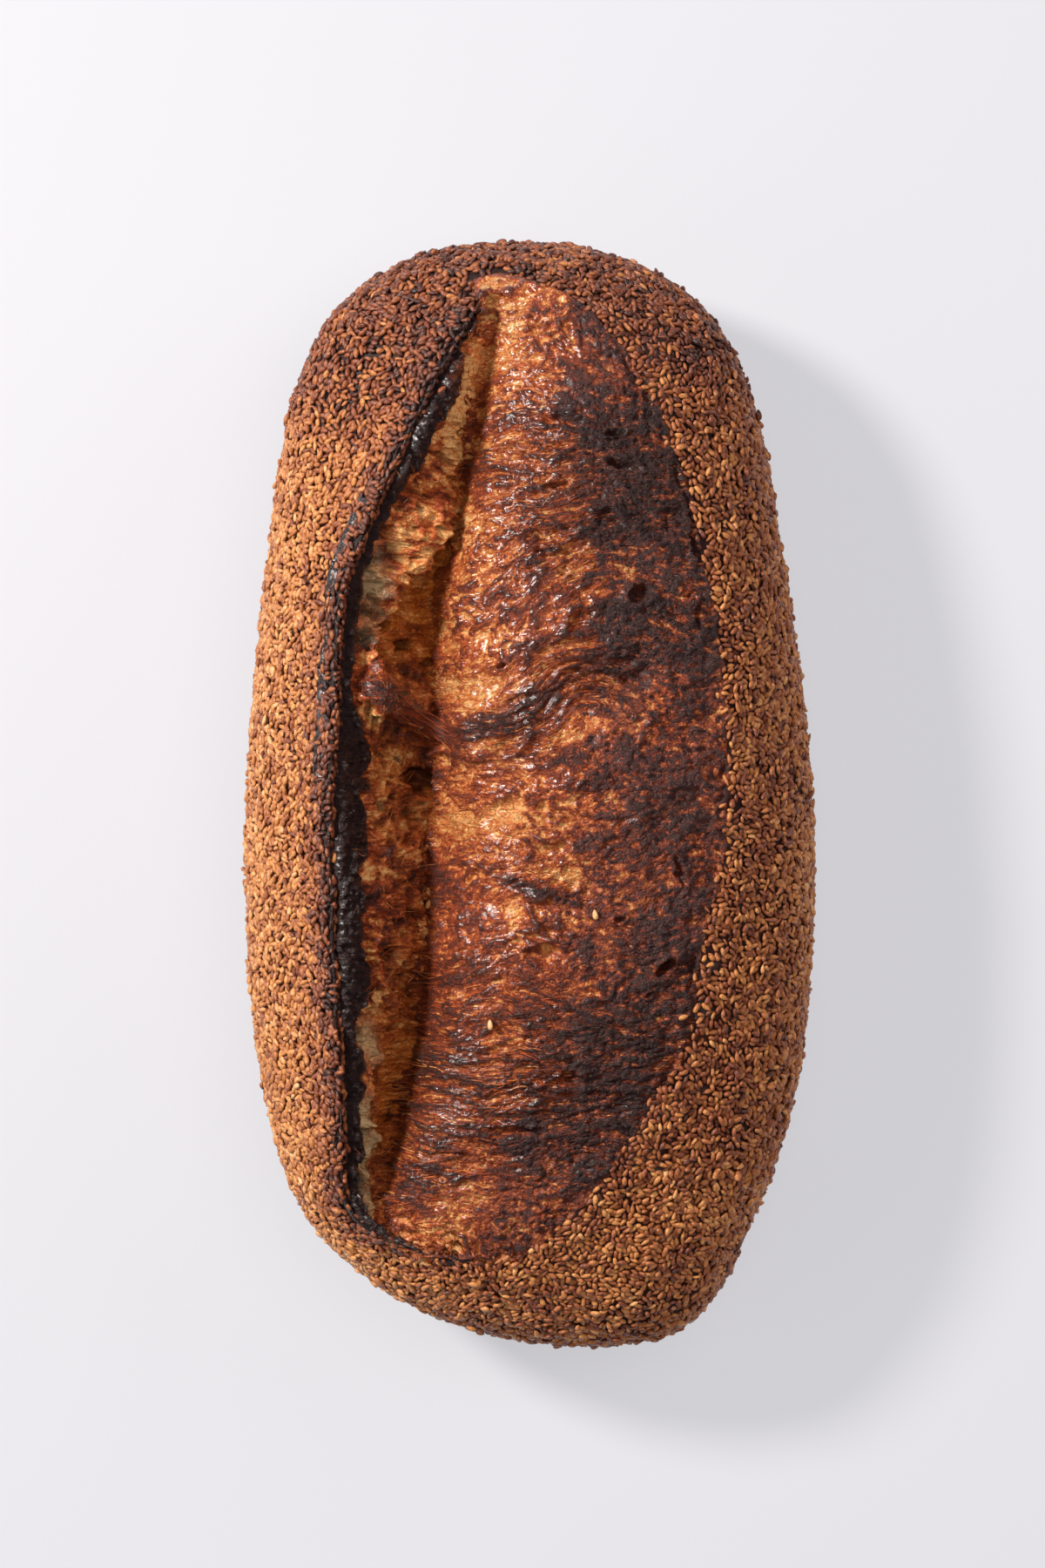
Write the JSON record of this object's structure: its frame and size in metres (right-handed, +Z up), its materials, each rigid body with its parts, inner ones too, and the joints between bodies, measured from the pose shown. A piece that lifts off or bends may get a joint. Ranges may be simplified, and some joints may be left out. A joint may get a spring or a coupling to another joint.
{
  "type": "fenugreek sesame sourdough loaf",
  "caption": "Long oval sourdough loaf with a seeded crust and one lengthwise slash opened into a raised ear and a wide bloom.",
  "frame": {"origin": "middle of the loaf's box in plan, on its flat base", "axes": "+Y along the loaf to the end where the slash runs to a point, +X to the side of the bloom away from the ear, +Z up"},
  "size_m": [0.1582, 0.3056, 0.0991],
  "materials": {
    "crust": null
  },
  "bodies": {
    "root": {"loaf": "crust"}
  },
  "joints": []
}
